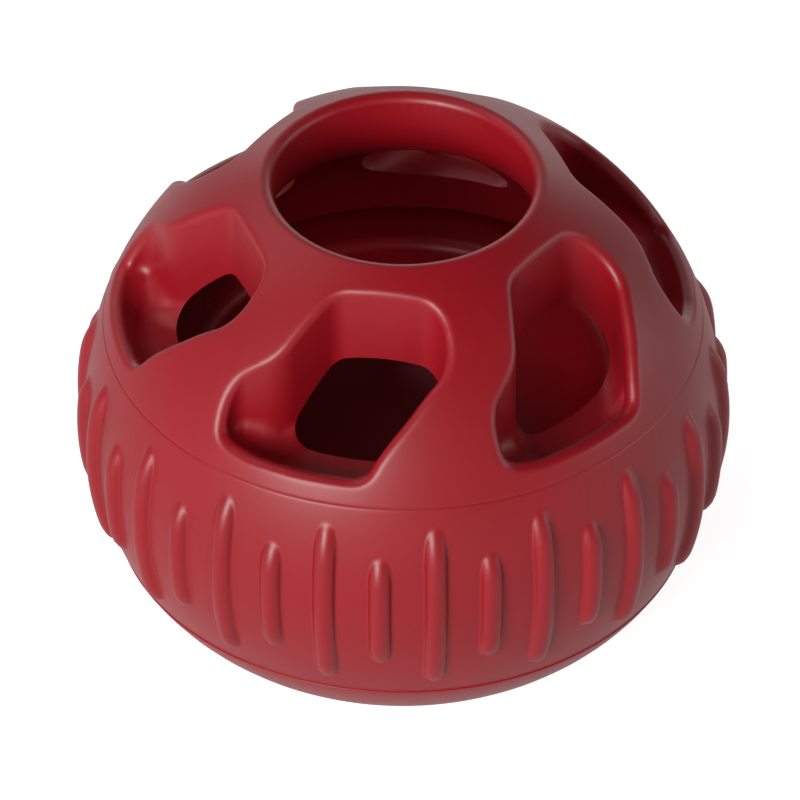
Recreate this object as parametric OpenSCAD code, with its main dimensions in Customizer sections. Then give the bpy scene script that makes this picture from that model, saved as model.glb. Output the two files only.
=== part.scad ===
// Fillable chew toy for dogs: two thick rubber shells that close round a treat.
// The upper shell is a dome with a round mouth and a ring of leaning windows.
// The lower shell is a cup with grip ribs, and the dome's skirt sits inside its rim.
// The origin is at the middle of the flat base. +Z points up, and one window faces -Y.
// All lengths are in millimetres and all angles in degrees.

/* [Ball] */
// Radius of the round outside that both shells share
ball_r = 49; // [46:0.5:53]
// Height of the middle of the ball above the base
ball_z = 35; // [32:0.5:37]
// Height of the seam between the two shells above the base
seam_z = 52; // [50:0.5:54]
// Width of the bevel that each rim has along the seam
seam_bevel = 0.4; // [0.2:0.1:0.8]

/* [Upper shell] */
// Thickness of the dome's wall
dome_wall = 10.2; // [7:0.2:11]
// Radius of the mouth in the top of the dome
mouth_r = 19.8; // [16:0.1:21]
// Rounding of the mouth's outer edge
mouth_round = 1.5; // [0.8:0.1:2.4]
// Rounding of the mouth's inner edge, where it opens into the dome
throat_round = 10; // [6:0.5:12]
// Depth of the skirt below the seam
skirt_h = 8.8; // [7:0.1:10]
// Thickness of the lower shell's rim outside the skirt, measured at the seam
rim_wall = 3.2; // [2.4:0.1:4]
// Gap between the skirt's side and the lower shell
skirt_gap = 0.3; // [0.2:0.05:0.5]
// Gap between the skirt's lower edge and the ledge under it
ledge_gap = 1.2; // [0.4:0.1:2]

/* [Windows] */
// Number of windows round the dome
window_count = 6; // [4:1:6]
// Distance from the ball's axis to the middle of a window's inner wall
window_in = 25.2; // [24.4:0.1:27]
// Length of a window's inner wall
window_head_w = 15.4; // [12:0.2:16.4]
// How far the inner wall sits to the right of the window's middle
window_lean = 4; // [2:0.1:4.4]
// How much further out the left end of the inner wall is than its middle
window_skew = 0.8; // [0:0.1:1.5]
// Reach of the right corner from the window's middle
window_cheek_x = 14.7; // [13.6:0.1:16]
// Distance of the right corner out from the inner wall
window_cheek_y = 4.6; // [4:0.1:7]
// Place of the outer right corner, to the right of the window's middle
window_foot_x = 3; // [2:0.1:6]
// Reach of the tail to the left of the window's middle
window_tail_x = 17.6; // [16.6:0.1:19]
// Width of the tail's blunt end
window_tail_w = 5.3; // [4.6:0.1:6]
// Reach to the left of the hollow bend in the left wall
window_bend_x = 10.3; // [9:0.1:11]
// Distance of the hollow bend out from the inner wall
window_bend_y = 8.7; // [7.6:0.1:9.2]
// Rounding of the windows' corners
window_round = 3.5; // [2:0.1:4]
// Rounding of the tail's inner corner
window_tail_round = 2.4; // [1.4:0.1:3]
// Height of the window's lip on the outside above the seam
lip_h = 3.7; // [3:0.1:6]
// Height of the window's level sill above the seam
sill_h = 0.3; // [0.2:0.1:2]
// Share of the way out to the lip over which the sill is level, before it slopes up
sill_level = 0.6; // [0.2:0.05:0.7]

/* [Lower shell] */
// Radius of the round bowl that holds the treat
bowl_r = 30.6; // [26:0.2:33]
// Rounding of the bowl's edge
bowl_round = 2; // [1:0.1:3]
// Height of the crease round the foot above the base
crease_z = 14.6; // [11:0.1:16]
// How far the foot stands proud of the ball at the crease
crease_step = 0.4; // [0.2:0.1:0.8]
// Radius of the foot's round side
foot_round = 32.6; // [31.6:0.2:37]
// Height of the centre of the foot's round side above the base
foot_round_z = 30; // [26:0.5:31]

/* [Grip ribs] */
// Number of ribs round the lower shell, long and short in turn
rib_count = 36; // [24:2:40]
// Length of a long rib
rib_long = 32.6; // [26:0.2:34]
// Length of a short rib
rib_short = 22.4; // [16:0.2:26]
// Height of the middle of the ribs above the base
rib_mid_z = 34; // [33:0.5:35]
// Radius of a rib's round back
rib_r = 1.8; // [1.6:0.1:2.2]
// How far a rib stands out of the ball
rib_proud = 1.4; // [0.6:0.1:1.5]
// Length of a rib's arched upper end
rib_arch = 4.4; // [2.4:0.1:6]

/* [Hidden] */
$fn = 96;

// Steps of the arc that rounds a window's corner
corner_steps = 8;
// Room that a cut leaves past the face it goes through
past = 2;

shell_red = [0.60, 0.05, 0.07];

function ball_radius_at(z) = sqrt(pow(ball_r, 2) - pow(z - ball_z, 2));
function cavity_radius_at(z) = sqrt(pow(cavity_r, 2) - pow(z - ball_z, 2));

// Ball and collar
cavity_r = ball_r - dome_wall;
seam_r = ball_radius_at(seam_z);
recess_r = seam_r - rim_wall;
skirt_r = recess_r - skirt_gap;
skirt_z = seam_z - skirt_h;
ledge_z = skirt_z - ledge_gap;

// Sill of the windows: level from the cavity outwards, then a cone up to the lip
lip_z = seam_z + lip_h;
lip_r = ball_radius_at(lip_z);
sill_z = seam_z + sill_h;
sill_r = cavity_radius_at(sill_z);
slope_r = sill_r + sill_level * (lip_r - sill_r);
sill_slope = (lip_z - sill_z) / (lip_r - slope_r);

// Plan of one window: [to the right, out from the axis, rounding]
// The outer corners lie just past the lip, where the sill runs out through the ball.
lip_past = 0.5;
function out_at(x) = sqrt(pow(lip_r + lip_past, 2) - x * x);
tail_y = out_at(window_tail_x);
window_corners = [
    [window_lean - window_head_w / 2, window_in + window_skew, window_round],
    [window_lean + window_head_w / 2, window_in - window_skew, window_round],
    [window_cheek_x, window_in + window_cheek_y, window_round],
    [window_foot_x, out_at(window_foot_x), window_round],
    [(window_foot_x - window_tail_x) / 2, lip_r + past, 0],
    [-window_tail_x, tail_y, window_round],
    [-window_tail_x, tail_y - window_tail_w, window_tail_round],
    [-window_bend_x, window_in + window_bend_y, 2 * window_round],
];

// Outline with every corner replaced by an arc of its own radius
function unit(v) = v / norm(v);
function corner_arc(before, at, after, r) =
    let (
        u = unit(before - at),
        v = unit(after - at),
        half = acos(u * v) / 2,
        centre = at + unit(u + v) * r / sin(half),
        start = at + u * r / tan(half) - centre,
        end = at + v * r / tan(half) - centre,
        first = atan2(start.y, start.x),
        turn = atan2(start.x * end.y - start.y * end.x, start * end)
    )
    [for (i = [0 : corner_steps])
        let (a = first + turn * i / corner_steps)
        centre + r * [cos(a), sin(a)]];
function plan_point(c) = [c[0], c[1]];
function rounded_outline(corners) =
    let (n = len(corners))
    [for (i = [0 : n - 1])
        let (
            before = plan_point(corners[(i + n - 1) % n]),
            at = plan_point(corners[i]),
            after = plan_point(corners[(i + 1) % n]),
            r = corners[i][2]
        )
        each r > 0 ? corner_arc(before, at, after, r) : [at]];

// Foot: its round side passes through the proud edge at the crease
crease_r = ball_radius_at(crease_z) + crease_step;
foot_round_x = crease_r - sqrt(pow(foot_round, 2) - pow(foot_round_z - crease_z, 2));

// Ribs: round bars bent along the ball, sunk so that only their backs stand out
// A blank with round ends, a little wider than the bar, trims each bar to its length.
rib_path_r = ball_r + rib_proud - rib_r;
rib_mid_el = asin((rib_mid_z - ball_z) / ball_r);
rib_pitch = 360 / rib_count;
blank_r = rib_r + 0.2;
function rib_reach(length) = length / 2 / ball_r * 180 / PI;
function blank_end(tip, length, side) =
    [for (i = [0 : 2 * corner_steps])
        let (a = side - 90 + 90 * i / corner_steps)
        [tip - length * cos(side) + length * cos(a), blank_r * sin(a)]];
function blank_outline(half) =
    concat(blank_end(half, blank_r, 0), blank_end(-half, rib_arch, 180));

// Corner of a profile cut to a round of radius r about centre, from face to face
module round_cut(centre, r, face_a, corner, face_b) {
    difference() {
        polygon([centre, face_a, corner, face_b]);
        translate(centre) circle(r = r);
    }
}

module seam_groove() {
    translate([seam_r, seam_z]) rotate(45) square(seam_bevel * sqrt(2), center = true);
}

module mouth_edge() {
    x = mouth_r + mouth_round;
    rise = sqrt(pow(ball_r - mouth_round, 2) - x * x);
    centre = [x, ball_z + rise];
    on_ball = [0, ball_z] + [x, rise] * (ball_r + past) / (ball_r - mouth_round);
    on_bore = [mouth_r - past, centre.y];
    round_cut(centre, mouth_round, on_bore, [on_bore.x, on_ball.y], on_ball);
}

module throat_edge() {
    reach = cavity_r + throat_round;
    x = mouth_r + throat_round;
    rise = sqrt(reach * reach - x * x);
    centre = [x, ball_z + rise];
    in_cavity = [0, ball_z] + [x, rise] * (cavity_r - past) / reach;
    on_bore = [mouth_r - past, centre.y];
    round_cut(centre, throat_round, in_cavity, [on_bore.x, in_cavity.y], on_bore);
}

module bowl_edge() {
    reach = bowl_r + bowl_round;
    centre = [sqrt(reach * reach - pow(bowl_round, 2)), ledge_z - bowl_round];
    in_bowl = [0, ledge_z] + [centre.x, -bowl_round] * (bowl_r - past) / reach;
    on_ledge = [centre.x, ledge_z + past];
    round_cut(centre, bowl_round, in_bowl, [in_bowl.x, on_ledge.y], on_ledge);
}

module upper_profile() {
    difference() {
        union() {
            intersection() {
                translate([0, ball_z]) circle(r = ball_r);
                translate([0, seam_z]) square(ball_r);
            }
            translate([0, skirt_z]) square([skirt_r, skirt_h + past]);
        }
        translate([0, ball_z]) circle(r = cavity_r);
        square([mouth_r, ball_z + ball_r]);
        mouth_edge();
        throat_edge();
        seam_groove();
    }
}

module lower_profile() {
    difference() {
        union() {
            intersection() {
                translate([0, ball_z]) circle(r = ball_r);
                translate([0, crease_z - past]) square([ball_r, seam_z - crease_z + past]);
            }
            intersection() {
                translate([foot_round_x, foot_round_z]) circle(r = foot_round);
                square([ball_r, crease_z]);
            }
        }
        translate([0, ledge_z]) square([recess_r, ball_r]);
        translate([0, ledge_z]) circle(r = bowl_r);
        bowl_edge();
        seam_groove();
    }
}

module sill_profile() {
    near = window_in / 2;
    far = ball_r + past;
    top = ball_z + ball_r + past;
    polygon([
        [near, sill_z],
        [slope_r, sill_z],
        [far, sill_z + sill_slope * (far - slope_r)],
        [far, top],
        [near, top],
    ]);
}

module windows() {
    outline = [for (p = rounded_outline(window_corners)) [p.x, -p.y]];
    intersection() {
        rotate_extrude() sill_profile();
        for (i = [0 : window_count - 1])
            rotate(i * 360 / window_count)
                translate([0, 0, ledge_z])
                    linear_extrude(ball_r + ball_z)
                        polygon(outline);
    }
}

module rib(length) {
    bar_reach = rib_reach(length) + past;
    tip = ball_r * sin(rib_reach(length));
    translate([0, 0, ball_z]) rotate([0, -rib_mid_el, -90]) intersection() {
        rotate([90, 0, 0]) rotate(-bar_reach)
            rotate_extrude(angle = 2 * bar_reach) translate([rib_path_r, 0]) circle(r = rib_r);
        rotate([0, 90, 0]) translate([0, 0, ball_r / 2])
            linear_extrude(ball_r) polygon(blank_outline(tip));
    }
}

module lower_shell() {
    color(shell_red) {
        rotate_extrude() lower_profile();
        for (i = [0 : rib_count - 1])
            rotate(i * rib_pitch) rib(i % 2 == 0 ? rib_long : rib_short);
    }
}

module upper_shell() {
    color(shell_red) difference() {
        rotate_extrude() upper_profile();
        windows();
    }
}

lower_shell();
upper_shell();
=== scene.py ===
# %% [markdown]
# # A fillable chew toy for dogs
#
# The toy is a hollow ball of deep red rubber, moulded as two thick shells. The lower shell is a cup with
# grip ribs. The upper shell is a dome with a round mouth and six leaning windows. A coarse thread inside
# the seam holds them together, so that a treat can be put in.
#
# Lengths below are in millimetres and angles in degrees, as on a drawing, and MM turns millimetres into
# Blender's metres. Only the floor's width and the lights are in metres. The origin is in the middle of the
# flat base, and one window faces -Y.

import math

import bpy
import numpy as np
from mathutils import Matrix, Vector


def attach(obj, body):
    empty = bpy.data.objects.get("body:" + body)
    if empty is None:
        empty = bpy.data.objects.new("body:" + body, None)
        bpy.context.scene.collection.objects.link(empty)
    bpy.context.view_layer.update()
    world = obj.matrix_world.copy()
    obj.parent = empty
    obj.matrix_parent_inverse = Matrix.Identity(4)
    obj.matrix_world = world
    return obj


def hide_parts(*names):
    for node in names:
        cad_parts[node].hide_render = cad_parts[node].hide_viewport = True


MM = 0.001
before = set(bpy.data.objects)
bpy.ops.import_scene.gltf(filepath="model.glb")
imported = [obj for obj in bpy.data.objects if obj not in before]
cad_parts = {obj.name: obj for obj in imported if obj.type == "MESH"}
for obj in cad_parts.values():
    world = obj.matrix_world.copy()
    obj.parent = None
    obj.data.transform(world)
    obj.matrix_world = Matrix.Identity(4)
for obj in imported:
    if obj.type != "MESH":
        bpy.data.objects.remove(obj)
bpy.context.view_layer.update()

# %% [markdown]
# ## Camera
#
# The picture was taken through a very long lens, so the ball shows almost no perspective. The camera
# stands a little to the right of the front window and looks down at about 40 degrees.

# %% Place the camera
VIEW_TURN = math.radians(14.1)
VIEW_DOWN = math.radians(39.723)
CAMERA_OUT = 1186.0
CAMERA_UP = 1020.7
SENSOR = 36
LENS = 450
SHIFT = -0.00375

bpy.ops.object.camera_add(
    location=(
        CAMERA_OUT * math.sin(VIEW_TURN) * MM,
        -CAMERA_OUT * math.cos(VIEW_TURN) * MM,
        CAMERA_UP * MM,
    ),
    rotation=(math.pi / 2 - VIEW_DOWN, 0, VIEW_TURN),
)
camera = bpy.context.object
camera.data.sensor_width = SENSOR
camera.data.lens = LENS
camera.data.shift_x = SHIFT
bpy.context.scene.camera = camera
print("camera at", [round(c, 3) for c in camera.location])

# %% [markdown]
# ## Tools for turned pieces
#
# Both shells are round, so each starts as a profile that is turned about the Z axis, like clay on a
# wheel. The Screw modifier does that in one step. A few small helpers keep the later cells short.


# %% Helpers for profiles
def pick(*pieces):
    """Selects only these objects and makes the first one active."""
    bpy.ops.object.select_all(action="DESELECT")
    for piece in pieces:
        piece.select_set(True)
    bpy.context.view_layer.objects.active = pieces[0]


def apply_modifier(piece, kind, **settings):
    """Adds a modifier with these settings and applies it."""
    pick(piece)
    bpy.ops.object.modifier_add(type=kind)
    modifier = piece.modifiers[-1]
    for name, value in settings.items():
        setattr(modifier, name, value)
    bpy.ops.object.modifier_apply(modifier=modifier.name)


def spaced(start, end, step):
    """Evenly spaced numbers from start to end, both included, about step apart."""
    count = max(1, round(abs(end - start) / step))
    return [start + (end - start) * i / count for i in range(count + 1)]


def arc(centre, radius, start, end, steps):
    """Profile points along an arc, from one angle to another in degrees."""
    turns = [math.radians(start + (end - start) * i / steps) for i in range(steps + 1)]
    return [(centre[0] + radius * math.cos(a), centre[1] + radius * math.sin(a)) for a in turns]


def turned(name, profile, columns, closed=False):
    """Turns a profile of (radius, height) points about the Z axis."""
    count = len(profile)
    edges = [(i, i + 1) for i in range(count - 1)]
    if closed:
        edges.append((count - 1, 0))
    mesh = bpy.data.meshes.new(name)
    mesh.from_pydata([(r * MM, 0, z * MM) for r, z in profile], edges, [])
    piece = bpy.data.objects.new(name, mesh)
    bpy.context.collection.objects.link(piece)
    apply_modifier(
        piece,
        "SCREW",
        angle=2 * math.pi,
        steps=columns,
        render_steps=columns,
        use_merge_vertices=True,
        merge_threshold=1e-6,
    )
    return piece


def face_outwards(piece):
    """Recalculates the normals of a closed piece."""
    pick(piece)
    bpy.ops.object.mode_set(mode="EDIT")
    bpy.ops.mesh.select_all(action="SELECT")
    bpy.ops.mesh.normals_make_consistent(inside=False)
    bpy.ops.object.mode_set(mode="OBJECT")


def raise_by(piece, name, weights, height):
    """Moves vertices along their normals, by a share of height given for each vertex number."""
    group = piece.vertex_groups.new(name=name)
    for number, weight in weights.items():
        group.add([number], weight, "REPLACE")
    apply_modifier(piece, "DISPLACE", vertex_group=name, strength=height * MM, mid_level=0)
    piece.vertex_groups.clear()


# %% [markdown]
# ## Lower shell, outside
#
# From the flat base the profile rolls up the round foot, steps in by a hair at the crease, follows the
# ball and ends on the rim, whose edge falls away a little so that the seam reads as a shallow groove. The
# rows are close together where rib ends will be and further apart between them.

# %% Turn the outside of the cup
BALL_R = 49.0
BALL_Z = 35.0
SEAM_Z = 52.0
SEAM_AIR = 0.003
SEAM_ROUND = 0.9
SEAM_TURN = 28.0
CREASE_Z = 14.6
CREASE_STEP = 0.25
CREASE_ROUND = 0.16
CREASE_TURN = 75
CREASE_CLEAR = 0.1
FOOT_R = 32.6
FOOT_Z = 30.0
BASE_ROUND = 4.0
BASE_RINGS = [0, 12, 24]
RIB_MID = -1.87
RIM_SPLIT = 44.4
RIB_COUNT = 36
CUP_COLUMNS = 22 * RIB_COUNT
# Where each band of rows ends, up the ball from the middle of the ribs, and how far apart its rows are
ROW_BANDS = [(-16.3, 0.6), (-14.7, 0.16), (-11.2, 0.7), (-9.6, 0.16), (4.6, 1.3), (17.2, 0.5)]
RIM_ROWS = 0.5


def on_ball(along):
    """Point of the ball's profile, a distance along it from the middle of the ribs."""
    el = math.radians(RIB_MID) + along / BALL_R
    return (BALL_R * math.cos(el), BALL_Z + BALL_R * math.sin(el))


crease_r = math.sqrt(BALL_R**2 - (CREASE_Z - BALL_Z) ** 2) + CREASE_STEP
foot_x = crease_r - math.sqrt(FOOT_R**2 - (FOOT_Z - CREASE_Z) ** 2)
base_x = foot_x + math.sqrt((FOOT_R - BASE_ROUND) ** 2 - (FOOT_Z - BASE_ROUND) ** 2)
base_turn = math.degrees(math.atan2(BASE_ROUND - FOOT_Z, base_x - foot_x))
edge_turn = math.degrees(math.asin((CREASE_Z - CREASE_ROUND - FOOT_Z) / (FOOT_R - CREASE_ROUND)))
edge_x = foot_x + (FOOT_R - CREASE_ROUND) * math.cos(math.radians(edge_turn))
groove_a = BALL_R - SEAM_ROUND + SEAM_ROUND * math.cos(math.radians(SEAM_TURN))
groove_b = SEAM_ROUND * math.sin(math.radians(SEAM_TURN))
groove_r = math.hypot(groove_a, groove_b)
groove_lean = math.degrees(math.atan2(groove_b, groove_a))
rim_turn = math.degrees(math.asin((SEAM_Z - SEAM_AIR - BALL_Z) / groove_r)) - groove_lean
rim_x, rim_z = arc((0, BALL_Z), BALL_R - SEAM_ROUND, rim_turn, rim_turn, 1)[0]

first_el = math.asin((CREASE_Z + CREASE_CLEAR - BALL_Z) / BALL_R)
band_start = BALL_R * (first_el - math.radians(RIB_MID))
rim_along = BALL_R * math.radians(rim_turn - RIB_MID)
rows = []
for band_end, step in ROW_BANDS + [(rim_along, RIM_ROWS)]:
    rows += spaced(band_start, band_end, step)[:-1]
    band_start = band_end

outside = [(r, 0) for r in BASE_RINGS]
outside += arc((base_x, BASE_ROUND), BASE_ROUND, -90, base_turn, 5)
outside += arc((foot_x, FOOT_Z), FOOT_R, base_turn, edge_turn, 9)[1:-1]
outside += arc((edge_x, CREASE_Z - CREASE_ROUND), CREASE_ROUND, edge_turn, CREASE_TURN, 5)
outside += [on_ball(along) for along in rows]
outside += arc((rim_x, rim_z), SEAM_ROUND, rim_turn, rim_turn + SEAM_TURN, 5)
outside += [(RIM_SPLIT, SEAM_Z - SEAM_AIR)]

cup = turned("ribbed_cup", outside, CUP_COLUMNS)
print("outside of the cup:", len(outside), "rows,", len(cup.data.vertices), "vertices")

# %% Crowd the columns at the ribs
# Distances from a rib's middle, along the ball, of the columns in one half of a rib's share
COLUMN_PLACES = [0, 0.48, 0.9, 1.2, 1.42, 1.6, 1.76, 1.92, 2.12, 2.5, 3.3]

half_pitch = math.pi / RIB_COUNT
column_turns = [place / BALL_R for place in COLUMN_PLACES] + [half_pitch]
for vertex in cup.data.vertices:
    r = math.hypot(vertex.co.x, vertex.co.y)
    turn = math.atan2(vertex.co.y, vertex.co.x)
    rib_turn = round(turn / (2 * half_pitch)) * 2 * half_pitch
    off = turn - rib_turn
    column = abs(off) / half_pitch * len(COLUMN_PLACES)
    turn = rib_turn + math.copysign(np.interp(column, range(len(column_turns)), column_turns), off)
    vertex.co.x, vertex.co.y = r * math.cos(turn), r * math.sin(turn)
print("columns in one rib's share:", CUP_COLUMNS // RIB_COUNT)

# %% [markdown]
# ## Lower shell, inside
#
# Inside the rim is the recess for the dome's thread, then a ledge and a round bowl for the treat. These
# plain surfaces need fewer columns than the ribs do. The two turned sheets are joined, and the narrow
# strip of the rim between them, which nobody sees when the toy is closed, is bridged.

# %% Turn the bowl and join it
RECESS_R = 42.756
RECESS_ROUND = 0.4
RECESS_TOP = 51.2
RECESS_LOW = 43.0
BRIDGE = 0.4
THREAD_ROWS = 0.35
LEDGE_Z = 42.0
LEDGE_ROUND = 0.6
BOWL_R = 30.6
BOWL_ROUND = 2.0
BOWL_COLUMNS = 252

lip_x = math.sqrt((BOWL_R + BOWL_ROUND) ** 2 - BOWL_ROUND**2)
lip_turn = math.degrees(math.atan2(-BOWL_ROUND, lip_x))

inside = [(RIM_SPLIT - BRIDGE, SEAM_Z - SEAM_AIR)]
inside += arc((RECESS_R + RECESS_ROUND, SEAM_Z - SEAM_AIR - RECESS_ROUND), RECESS_ROUND, 90, 180, 4)
inside += [(RECESS_R, z) for z in spaced(RECESS_TOP, RECESS_LOW, THREAD_ROWS)]
inside += arc((RECESS_R - LEDGE_ROUND, LEDGE_Z + LEDGE_ROUND), LEDGE_ROUND, 0, -90, 4)
inside += arc((lip_x, LEDGE_Z - BOWL_ROUND), BOWL_ROUND, 90, 180 + lip_turn, 8)
inside += arc((0, LEDGE_Z), BOWL_R, lip_turn, -90, 24)[1:-1] + [(0, LEDGE_Z - BOWL_R)]

bowl = turned("bowl", inside, BOWL_COLUMNS)
pick(cup, bowl)
bpy.ops.object.join()
bpy.ops.object.mode_set(mode="EDIT")
bpy.ops.mesh.select_mode(type="EDGE")
bpy.ops.mesh.select_all(action="DESELECT")
bpy.ops.mesh.select_non_manifold(
    use_wire=False, use_multi_face=False, use_non_contiguous=False, use_verts=False
)
bpy.ops.mesh.bridge_edge_loops()
bpy.ops.object.mode_set(mode="OBJECT")
face_outwards(cup)
print("closed cup:", len(cup.data.polygons), "faces")

# %% [markdown]
# ## Grip ribs
#
# Each rib is a round bar that is sunk into the ball. Towards its lower end it drops a little and ends in
# a full round, and its upper end sinks away until it runs out in a point. A small round fills the corner
# between bar and ball. The height of such a bar can be worked out for any point of the ball, so the ribs
# are raised from the cup's own surface with Displace, which leaves no joint. Long and short ribs take
# turns, 36 in all.

# %% Raise the ribs
RIB_R = 1.8
RIB_PROUD = 1.4
RIB_FILLET = 0.35
RIB_TAPER = 4.5
RIB_DROP = 0.9
# Length, and how much of it runs out at the top, of the long ribs and of the short ones between them
RIBS = {0: (31.6, 6.5), 1: (21.4, 5.0)}
# A point this near to a surface lies on it
NEAR = 0.01


def rib_height(along, across, length, run_out):
    """Height of one rib above the ball, at a place measured from the rib's middle."""
    past_top = max(0, along - (length / 2 - run_out)) / run_out
    past_low = max(0, RIB_TAPER - length / 2 - along) / RIB_TAPER
    sunk = RIB_R - RIB_PROUD + RIB_PROUD * past_top**2 + RIB_DROP * past_low**2
    if sunk >= RIB_R:
        return 0
    reach = math.sqrt((RIB_R + RIB_FILLET) ** 2 - (sunk + RIB_FILLET) ** 2)
    past_foot = min(0, along + length / 2 - RIB_R)
    off = math.hypot(across, past_foot)
    if off >= reach:
        return 0
    if off > reach * RIB_R / (RIB_R + RIB_FILLET):
        return RIB_FILLET - math.sqrt(RIB_FILLET**2 - (reach - off) ** 2)
    return math.sqrt(RIB_R**2 - off**2) - sunk


rib_weights = {}
pitch = 2 * math.pi / RIB_COUNT
for vertex in cup.data.vertices:
    r = math.hypot(vertex.co.x, vertex.co.y) / MM
    rise = vertex.co.z / MM - BALL_Z
    if abs(math.hypot(r, rise) - BALL_R) > NEAR:
        continue
    turn = math.atan2(vertex.co.y, vertex.co.x) + math.pi / 2
    number = round(turn / pitch)
    along = (math.atan2(rise, r) - math.radians(RIB_MID)) * BALL_R
    height = rib_height(along, (turn - number * pitch) * r, *RIBS[number % 2])
    if height > 0:
        rib_weights[vertex.index] = height / RIB_PROUD
raise_by(cup, "ribs", rib_weights, RIB_PROUD)
print("ribs raised at", len(rib_weights), "vertices")

# %% [markdown]
# ## Thread in the recess
#
# The shells screw together with a coarse thread, low and rounded so that it comes out of a rubber mould.
# It is raised from the recess in the same way. The dome's skirt will get the same thread, half a pitch
# away.

# %% Raise the cup's thread
THREAD_LEAD = 4.2
THREAD_HALF_W = 0.9
THREAD_H = 0.75
THREAD_LOW = 43.9
THREAD_HIGH = 50.9
THREAD_FADE = 1.0


def thread_weight(point, phase):
    """Share of the thread's height at a point of a collar wall."""
    z = point.z / MM
    ends = min(z - THREAD_LOW, THREAD_HIGH - z) / THREAD_FADE
    share = (z / THREAD_LEAD - math.atan2(point.y, point.x) / (2 * math.pi) + phase) % 1
    off = abs(share - 0.5) * THREAD_LEAD / THREAD_HALF_W
    if ends <= 0 or off >= 1:
        return 0
    return min(1, ends) * (1 + math.cos(math.pi * off)) / 2


def raise_thread(piece, wall_r, phase):
    """Raises the thread from the wall of this radius."""
    weights = {}
    for vertex in piece.data.vertices:
        if abs(math.hypot(vertex.co.x, vertex.co.y) / MM - wall_r) < NEAR:
            weights[vertex.index] = thread_weight(vertex.co, phase)
    raise_by(piece, "thread", weights, THREAD_H)
    return len(weights)


print("thread in the recess:", raise_thread(cup, RECESS_R, 0.5), "vertices")

# %% [markdown]
# ## Plan of a window
#
# A window is a pocket that is cut straight down into the dome, so that its walls are upright. Seen from
# above it is a leaning shape with a tail on its left. Its floor is a level sill that curves up to a lip
# outside. The plan is a polygon whose corners are replaced by arcs.

# %% Draw the plan of a window
CAVITY_R = 38.8
SILL_Z = 52.0
SILL_LEVEL_R = 40.4
LIP_R = 44.03
LIP_Z = 56.5
WINDOW_COUNT = 6
# Right of the window's middle, out from the axis, and the rounding of that corner
PLAN_CORNERS = [
    (-3.7, 26.0, 4.0),
    (11.6, 24.3, 4.3),
    (14.7, 30.0, 4.6),
    (10.0, 36.7, 25.0),
    (4.2, 43.0, 6.0),
    (-5.0, 43.2, 20.0),
    (-12.0, 41.8, 20.0),
    (-17.6, 39.6, 2.9),
    (-17.6, 35.4, 2.7),
    (-10.3, 33.9, 7.0),
]


def rounded_plan(corners, steps=16):
    """Outline with each corner replaced by an arc of its own radius."""
    outline = []
    for i, (x, y, radius) in enumerate(corners):
        at = Vector((x, y))
        back = (Vector(corners[i - 1][:2]) - at).normalized()
        on = (Vector(corners[(i + 1) % len(corners)][:2]) - at).normalized()
        half = back.angle(on) / 2
        centre = at + (back + on).normalized() * radius / math.sin(half)
        start = at + back * radius / math.tan(half) - centre
        turn = (math.pi - 2 * half) * math.copysign(1, back.y * on.x - back.x * on.y)
        for k in range(steps + 1):
            c, s = math.cos(turn * k / steps), math.sin(turn * k / steps)
            outline.append(centre + Vector((start.x * c - start.y * s, start.x * s + start.y * c)))
    return outline


plan = rounded_plan(PLAN_CORNERS)
print("window plan:", len(plan), "points")

# %% [markdown]
# ## Dome with its pockets
#
# The dome starts as a turned solid with the mouth's bore. One pocket is extruded from the plan and
# trimmed by the turned shape of the sill, and six copies are cut out of the dome. A fine voxel remesh
# then gives the whole dome small even faces, which can take rounded edges of any shape.

# %% Make one pocket and copy it
POCKET_LOW = 46
POCKET_TALL = 40
SILL_IN = 12
SILL_OUT = 60
SILL_TOP = 90
DOME_COLUMNS = 360

mesh = bpy.data.meshes.new("pocket")
mesh.from_pydata([(p.x * MM, -p.y * MM, POCKET_LOW * MM) for p in plan], [], [list(range(len(plan)))])
pocket = bpy.data.objects.new("pocket", mesh)
bpy.context.collection.objects.link(pocket)
pick(pocket)
bpy.ops.object.mode_set(mode="EDIT")
bpy.ops.mesh.select_all(action="SELECT")
bpy.ops.mesh.extrude_region_move(TRANSFORM_OT_translate={"value": (0, 0, POCKET_TALL * MM)})
bpy.ops.object.mode_set(mode="OBJECT")
face_outwards(pocket)

sill_slope = (LIP_Z - SILL_Z) / (LIP_R - SILL_LEVEL_R)
sill_end = SILL_Z + sill_slope * (SILL_OUT - SILL_LEVEL_R)
sill_shape = [(SILL_IN, SILL_Z), (SILL_LEVEL_R, SILL_Z), (SILL_OUT, sill_end)]
sill_shape += [(SILL_OUT, SILL_TOP), (SILL_IN, SILL_TOP)]
sill = turned("sill", sill_shape, DOME_COLUMNS, closed=True)
face_outwards(sill)
apply_modifier(pocket, "BOOLEAN", operation="INTERSECT", object=sill, solver="EXACT")
bpy.data.objects.remove(sill)

pockets = [pocket]
for i in range(1, WINDOW_COUNT):
    pick(pocket)
    bpy.ops.object.duplicate()
    bpy.ops.transform.rotate(
        value=2 * math.pi * i / WINDOW_COUNT, orient_axis="Z", center_override=(0, 0, 0)
    )
    pockets.append(bpy.context.object)
pick(*pockets)
bpy.ops.object.transform_apply(location=True, rotation=True, scale=True)
bpy.ops.object.join()
print("pockets:", len(pocket.data.polygons), "faces")

# %% Cut the dome
MOUTH_R = 19.8
BORE_Z = 62.0
DOME_FOOT_Z = 42.0
DOME_GRAIN = 0.5

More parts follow.
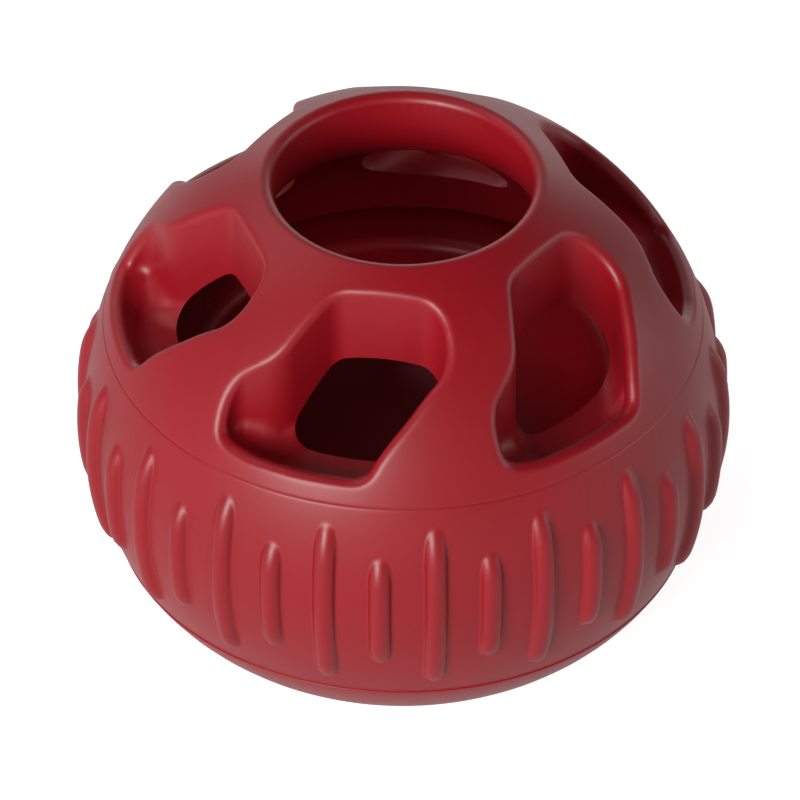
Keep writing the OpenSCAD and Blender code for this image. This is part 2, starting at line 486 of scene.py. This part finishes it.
mouth_el = math.degrees(math.acos(MOUTH_R / BALL_R))
foot_el = math.degrees(math.asin((DOME_FOOT_Z - BALL_Z) / BALL_R))
lump = [(0, DOME_FOOT_Z), (0, BORE_Z), (MOUTH_R, BORE_Z)]
lump += arc((0, BALL_Z), BALL_R, mouth_el, foot_el, 60)
dome = turned("windowed_dome", lump, DOME_COLUMNS, closed=True)
face_outwards(dome)
apply_modifier(dome, "BOOLEAN", operation="DIFFERENCE", object=pocket, solver="EXACT")
bpy.data.objects.remove(pocket)
apply_modifier(dome, "REMESH", mode="VOXEL", voxel_size=DOME_GRAIN * MM)
print("remeshed dome:", len(dome.data.polygons), "faces")

# %% [markdown]
# ## Rounded edges
#
# Rubber comes out of a mould with rounded edges: about a millimetre along the rims, and two to four in
# the corners of the sill, which also rises into the tail of the window. A bevel fails here, because the
# walls fade into the lip. So the shape is also described with distances: to the ball, to the window plan,
# to the sill and to the mouth. Where two of these meet, meet() rounds their edge as a rolling ball would,
# for any angle between them. Every point of the dome's outside then settles on that surface, with a
# little smoothing in between to keep the faces even.

# %% Describe the rounded dome
RIM_ROUND = 1.35
SILL_ROUND = 2.2
SILL_ROUND_WIDE = 4.2
# The round in the sill's corners widens between these places, measured to the right of the window's middle
NARROW_TO = -16.0
WIDE_FROM = -11.0
TAIL_START = -10.0
TAIL_SLOPE = 0.5
TAIL_ROUND = 6.0
MOUTH_ROUND = 1.5
# These keep divisions safe where surfaces are almost parallel, lengths near zero, or points on the plan
LEAST_SPREAD = 1e-4
LEAST_LENGTH = 1e-9
ON_PLAN = 1e-3

corner = np.array([tuple(p) for p in plan])
following = np.roll(corner, -1, axis=0)
side = following - corner
side_length = np.linalg.norm(side, axis=1)
side = side / side_length[:, None]
plan_turn = np.sign(np.sum(corner[:, 0] * following[:, 1] - corner[:, 1] * following[:, 0]))


def meet(a, a_dir, b, b_dir, radius):
    """Distance and direction for what lies inside both a and b, with a round along their edge."""
    lean = np.sum(a_dir * b_dir, axis=1)
    spread = np.maximum(1 - lean**2, LEAST_SPREAD)
    u = ((a + radius) - lean * (b + radius)) / spread
    v = ((b + radius) - lean * (a + radius)) / spread
    rolled = u[:, None] * a_dir + v[:, None] * b_dir
    length = np.maximum(np.linalg.norm(rolled, axis=1), LEAST_LENGTH)
    on_edge = (u > 0) & (v > 0)
    value = np.where(on_edge, length - radius, np.maximum(a, b))
    flat = np.where((a > b)[:, None], a_dir, b_dir)
    return value, np.where(on_edge[:, None], rolled / length[:, None], flat)


def plan_distance(x, y):
    """Distance out of the window plan, and its direction to the right and outwards."""
    gap = np.stack([x, y], axis=1)[:, None, :] - corner
    reach = np.clip(np.sum(gap * side, axis=2), 0, side_length)
    off = gap - reach[:, :, None] * side
    nearest = np.argmin(np.sum(off**2, axis=2), axis=1)
    rows = np.arange(len(x))
    off, gap, edge = off[rows, nearest], gap[rows, nearest], side[nearest]
    sign = plan_turn * np.where(edge[:, 0] * gap[:, 1] - edge[:, 1] * gap[:, 0] > 0, -1, 1)
    distance = np.linalg.norm(off, axis=1)
    straight = plan_turn * np.stack([edge[:, 1], -edge[:, 0]], axis=1)
    away = off * (sign / np.maximum(distance, LEAST_LENGTH))[:, None]
    return distance * sign, np.where((distance > ON_PLAN)[:, None], away, straight)


def dome_distance(points):
    """Distance out of the rounded dome, and its direction, for points in millimetres."""
    x, y, z = points.T
    r = np.hypot(x, y)
    outward = np.stack([x / r, y / r, 0 * r], axis=1)
    up = np.array([0, 0, 1.0])
    from_middle = points - np.array([0, 0, BALL_Z])
    length = np.linalg.norm(from_middle, axis=1)
    ball, ball_dir = length - BALL_R, from_middle / length[:, None]

    sector = 2 * math.pi / WINDOW_COUNT
    turn = np.arctan2(x, -y)
    home = np.round(turn / sector) * sector
    across = r * np.sin(turn - home)
    wall, wall_plan = plan_distance(across, r * np.cos(turn - home))
    wall_dir = np.stack(
        [
            wall_plan[:, 0] * np.cos(home) + wall_plan[:, 1] * np.sin(home),
            wall_plan[:, 0] * np.sin(home) - wall_plan[:, 1] * np.cos(home),
            0 * r,
        ],
        axis=1,
    )
    steep = math.hypot(1, sill_slope)
    slope = (SILL_Z + sill_slope * (r - SILL_LEVEL_R) - z) / steep
    slope_dir = (outward * sill_slope - up) / steep
    floor, floor_dir = meet(SILL_Z - z, np.tile(-up, (len(z), 1)), slope, slope_dir, SILL_ROUND)
    rightward = np.stack([np.cos(home), np.sin(home), 0 * r], axis=1)
    tilt = math.hypot(1, TAIL_SLOPE)
    tail = (SILL_Z + TAIL_SLOPE * (TAIL_START - across) - z) / tilt
    tail_dir = -(rightward * TAIL_SLOPE + up) / tilt
    floor, floor_dir = meet(floor, floor_dir, tail, tail_dir, TAIL_ROUND)
    corner_round = np.interp(across, [NARROW_TO, WIDE_FROM], [SILL_ROUND, SILL_ROUND_WIDE])
    void, void_dir = meet(wall, wall_dir, floor, floor_dir, corner_round)
    body, body_dir = meet(ball, ball_dir, -void, -void_dir, RIM_ROUND)
    return meet(body, body_dir, MOUTH_R - r, -outward, MOUTH_ROUND)


# %% Settle the dome on it
SETTLE_ROUNDS = 3
SETTLE_STEPS = 4
STEP_LIMIT = 0.8
BATCHES = 12
# How far past the cavity, the bore and the seam points still settle, before the trim cuts them away
PAST_INSIDE = 1
PAST_SEAM = 1.5


def settle(piece):
    """Moves the outside onto the rounded dome. Gives the number of points and the longest last step."""
    place = np.empty(len(piece.data.vertices) * 3)
    piece.data.vertices.foreach_get("co", place)
    place = place.reshape(-1, 3) / MM
    seen = np.linalg.norm(place - np.array([0, 0, BALL_Z]), axis=1) > CAVITY_R - PAST_INSIDE
    seen &= np.hypot(place[:, 0], place[:, 1]) > MOUTH_R - PAST_INSIDE
    seen &= place[:, 2] > SEAM_Z - PAST_SEAM
    last_step = 0
    for batch in np.array_split(np.flatnonzero(seen), BATCHES):
        points = place[batch]
        for _ in range(SETTLE_STEPS):
            distance, direction = dome_distance(points)
            points = points - np.clip(distance, -STEP_LIMIT, STEP_LIMIT)[:, None] * direction
        place[batch] = points
        last_step = max(last_step, np.abs(distance).max())
    piece.data.vertices.foreach_set("co", (place * MM).ravel())
    piece.data.update()
    return len(np.flatnonzero(seen)), float(last_step)


for _ in range(SETTLE_ROUNDS):
    apply_modifier(dome, "SMOOTH", factor=0.5, iterations=3)
    print("settled points, and the longest last step in mm:", settle(dome))

# %% [markdown]
# ## Rim, skirt and cavity of the dome
#
# The rim must stay crisp, or the seam would look worn, and so must the edge where each window breaks
# through into the cavity. So these are cut last, with a turned shape that holds the seam's groove, the
# flat of the rim, the skirt with its thread, and the hollow inside.

# %% Trim the dome
SKIRT_R = 41.75
SKIRT_Z = 43.2
SKIRT_ROUND = 0.4
THROAT_ROUND = 10.0
BORE_TRIM = 0.02
SKIRT_MARGIN = 0.8
# The turned shape runs wide of the dome outside: past the groove, then out, and up above the mouth
GROOVE_OUT_R = 46.6
GROOVE_OUT_RISE = 1.2
CLEAR_R = 60
CLEAR_Z = 66
CLEAR_TOP = 100

seam_z = SEAM_Z + SEAM_AIR
seam_turn = math.degrees(math.asin((seam_z - BALL_Z) / groove_r)) + groove_lean
seam_centre = arc((0, BALL_Z), BALL_R - SEAM_ROUND, seam_turn, seam_turn, 1)[0]
hollow_el = math.degrees(math.asin((SKIRT_Z - BALL_Z) / CAVITY_R))
throat_x = MOUTH_R + BORE_TRIM + THROAT_ROUND
throat_el = math.degrees(math.acos(throat_x / (CAVITY_R + THROAT_ROUND)))
throat_z = BALL_Z + throat_x * math.tan(math.radians(throat_el))
trim = arc((SKIRT_R - SKIRT_ROUND, SKIRT_Z + SKIRT_ROUND), SKIRT_ROUND, -90, 0, 4)
skirt_rows = spaced(SKIRT_Z + SKIRT_MARGIN, seam_z - SKIRT_MARGIN, THREAD_ROWS)
trim += [(SKIRT_R, z) for z in skirt_rows]
trim += arc((SKIRT_R + SKIRT_ROUND, seam_z - SKIRT_ROUND), SKIRT_ROUND, 180, 90, 4)
trim += arc(seam_centre, SEAM_ROUND, seam_turn - SEAM_TURN, seam_turn, 5)
trim += [(GROOVE_OUT_R, seam_z + GROOVE_OUT_RISE), (CLEAR_R, CLEAR_Z)]
trim += [(CLEAR_R, CLEAR_TOP), (MOUTH_R + BORE_TRIM, CLEAR_TOP)]
trim += arc((throat_x, throat_z), THROAT_ROUND, 180, 180 + throat_el, 20)
trim += arc((0, BALL_Z), CAVITY_R, throat_el, hollow_el, 40)[1:]
keep = turned("keep", trim, DOME_COLUMNS, closed=True)
face_outwards(keep)
print("thread on the skirt:", raise_thread(keep, SKIRT_R, 0), "vertices")
apply_modifier(dome, "BOOLEAN", operation="INTERSECT", object=keep, solver="EXACT")
bpy.data.objects.remove(keep)
print("trimmed dome:", len(dome.data.polygons), "faces")

# %% [markdown]
# ## Rubber
#
# The toy is moulded in one deep red rubber with a satin skin: a broad soft shine, no sharp reflection.
# Very faint clouds in colour and gloss and a fine grain keep it from looking like painted plastic.

# %% Mix the red rubber
RUBBER_DEEP = (0.26, 0.0030, 0.0080, 1)
RUBBER_LIGHT = (0.285, 0.0035, 0.0095, 1)
RUBBER_IOR = 1.48
ROUGH_LOW = 0.37
ROUGH_HIGH = 0.43
GRAIN_STRENGTH = 0.06
GRAIN_DEPTH = 0.05
SMOOTH_ANGLE = math.radians(35)

rubber = bpy.data.materials.new("red_rubber")
rubber.use_nodes = True
nodes, links = rubber.node_tree.nodes, rubber.node_tree.links
skin = nodes["Principled BSDF"]
skin.inputs["IOR"].default_value = RUBBER_IOR
place = nodes.new("ShaderNodeTexCoord").outputs["Object"]


def noise(scale, detail):
    """Noise texture that is fixed to the piece."""
    texture = nodes.new("ShaderNodeTexNoise")
    texture.inputs["Scale"].default_value = scale
    texture.inputs["Detail"].default_value = detail
    links.new(place, texture.inputs["Vector"])
    return texture.outputs["Fac"]


ramp = nodes.new("ShaderNodeValToRGB")
ramp.color_ramp.elements[0].position = 0.35
ramp.color_ramp.elements[0].color = RUBBER_DEEP
ramp.color_ramp.elements[1].position = 0.65
ramp.color_ramp.elements[1].color = RUBBER_LIGHT
links.new(noise(scale=45, detail=3), ramp.inputs["Fac"])
links.new(ramp.outputs["Color"], skin.inputs["Base Color"])

gloss = nodes.new("ShaderNodeMapRange")
gloss.inputs["To Min"].default_value = ROUGH_LOW
gloss.inputs["To Max"].default_value = ROUGH_HIGH
links.new(noise(scale=300, detail=4), gloss.inputs["Value"])
links.new(gloss.outputs["Result"], skin.inputs["Roughness"])

grain = nodes.new("ShaderNodeBump")
grain.inputs["Strength"].default_value = GRAIN_STRENGTH
grain.inputs["Distance"].default_value = GRAIN_DEPTH * MM
links.new(noise(scale=3500, detail=2), grain.inputs["Height"])
links.new(grain.outputs["Normal"], skin.inputs["Normal"])
print("material", rubber.name, "with", len(nodes), "nodes")

# %% Dress the shells
for piece, node, slot in ((cup, "lower_shell", "lower_rubber"), (dome, "upper_shell", "upper_rubber")):
    piece.data.materials.clear()
    piece.data.materials.append(rubber)
    pick(piece)
    bpy.ops.object.shade_smooth_by_angle(angle=SMOOTH_ANGLE)
    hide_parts(node)
    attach(piece, node)
    piece.data.calc_loop_triangles()
    print(piece.name, "has", len(piece.data.loop_triangles), "triangles")

# %% [markdown]
# ## Floor, light and background
#
# A wide white floor fills the picture. The camera sees it as pure white, and in the rubber's shine it is
# dimmer. The main light is a soft box, low at the front left, which gives the broad shine just under the
# windows. Weaker boxes at the right, high on the left and behind draw the edges of the ball, the windows
# and the mouth, and a low ring of white sky fills the rest.

# %% Lay the floor
FLOOR_GLOW = 0.85
FLOOR_IN_SHINE = 0.45
FLOOR_SIZE = 6
FLOOR_DROP = 0.05
FLOOR_GREY = (0.45, 0.45, 0.45, 1)
WHITE = (1, 1, 1, 1)

bpy.ops.mesh.primitive_plane_add(size=FLOOR_SIZE, location=(0, 0, -FLOOR_DROP * MM))
floor = bpy.context.object
floor.name = "floor"
paper = bpy.data.materials.new("white_paper")
paper.use_nodes = True
nodes, links = paper.node_tree.nodes, paper.node_tree.links
sheet = nodes["Principled BSDF"]
sheet.inputs["Base Color"].default_value = FLOOR_GREY
sheet.inputs["Roughness"].default_value = 0.9
sheet.inputs["Emission Color"].default_value = WHITE
ray = nodes.new("ShaderNodeLightPath")
dim = nodes.new("ShaderNodeMath")
dim.operation = "MULTIPLY"
dim.inputs[1].default_value = FLOOR_IN_SHINE
links.new(ray.outputs["Is Glossy Ray"], dim.inputs[0])
seen = ray.outputs["Is Camera Ray"]
for kind in (dim.outputs["Value"], ray.outputs["Is Transmission Ray"]):
    either = nodes.new("ShaderNodeMath")
    either.operation = "MAXIMUM"
    links.new(seen, either.inputs[0])
    links.new(kind, either.inputs[1])
    seen = either.outputs["Value"]
glow = nodes.new("ShaderNodeMath")
glow.operation = "MULTIPLY"
glow.inputs[1].default_value = FLOOR_GLOW
links.new(seen, glow.inputs[0])
links.new(glow.outputs["Value"], sheet.inputs["Emission Strength"])
floor.data.materials.append(paper)

# %% Set the lights
TARGET = Vector((0, 0, 40 * MM))
LIGHT_DISTANCE = 1.0


def soft_box(name, turn, el, width, height, power):
    """Area light that faces the toy, at a turn from the camera, positive to its right."""
    a = VIEW_TURN + math.radians(turn)
    e = math.radians(el)
    out = Vector((math.sin(a) * math.cos(e), -math.cos(a) * math.cos(e), math.sin(e)))
    bpy.ops.object.light_add(type="AREA", location=TARGET + out * LIGHT_DISTANCE)
    light = bpy.context.object
    light.name = name
    light.rotation_euler = out.to_track_quat("Z", "Y").to_euler()
    light.data.shape = "RECTANGLE"
    light.data.size = width
    light.data.size_y = height
    light.data.energy = power
    print(name, "at", [round(c, 2) for c in light.location])


soft_box("key_box", turn=-31, el=20, width=0.5, height=0.45, power=10.8)
soft_box("right_box", turn=88, el=14, width=0.8, height=0.4, power=1.9)
soft_box("edge_box", turn=-120, el=52, width=0.7, height=0.7, power=1.8)
soft_box("back_box", turn=175, el=16, width=1.2, height=0.5, power=2.6)

# %% Fill in with a low ring of light
RING = 0.4
OVERHEAD = 0.05
RING_TOP = 16
RING_END = 42

world = bpy.data.worlds.new("studio")
world.use_nodes = True
nodes, links = world.node_tree.nodes, world.node_tree.links
sky = nodes["Background"]
sky.inputs["Color"].default_value = WHITE
height = nodes.new("ShaderNodeSeparateXYZ")
fade = nodes.new("ShaderNodeMapRange")
fade.inputs["From Min"].default_value = math.sin(math.radians(RING_TOP))
fade.inputs["From Max"].default_value = math.sin(math.radians(RING_END))
fade.inputs["To Min"].default_value = RING
fade.inputs["To Max"].default_value = OVERHEAD
links.new(nodes.new("ShaderNodeTexCoord").outputs["Generated"], height.inputs["Vector"])
links.new(height.outputs["Z"], fade.inputs["Value"])
links.new(fade.outputs["Result"], sky.inputs["Strength"])
bpy.context.scene.world = world
bpy.context.scene.view_settings.view_transform = "Standard"
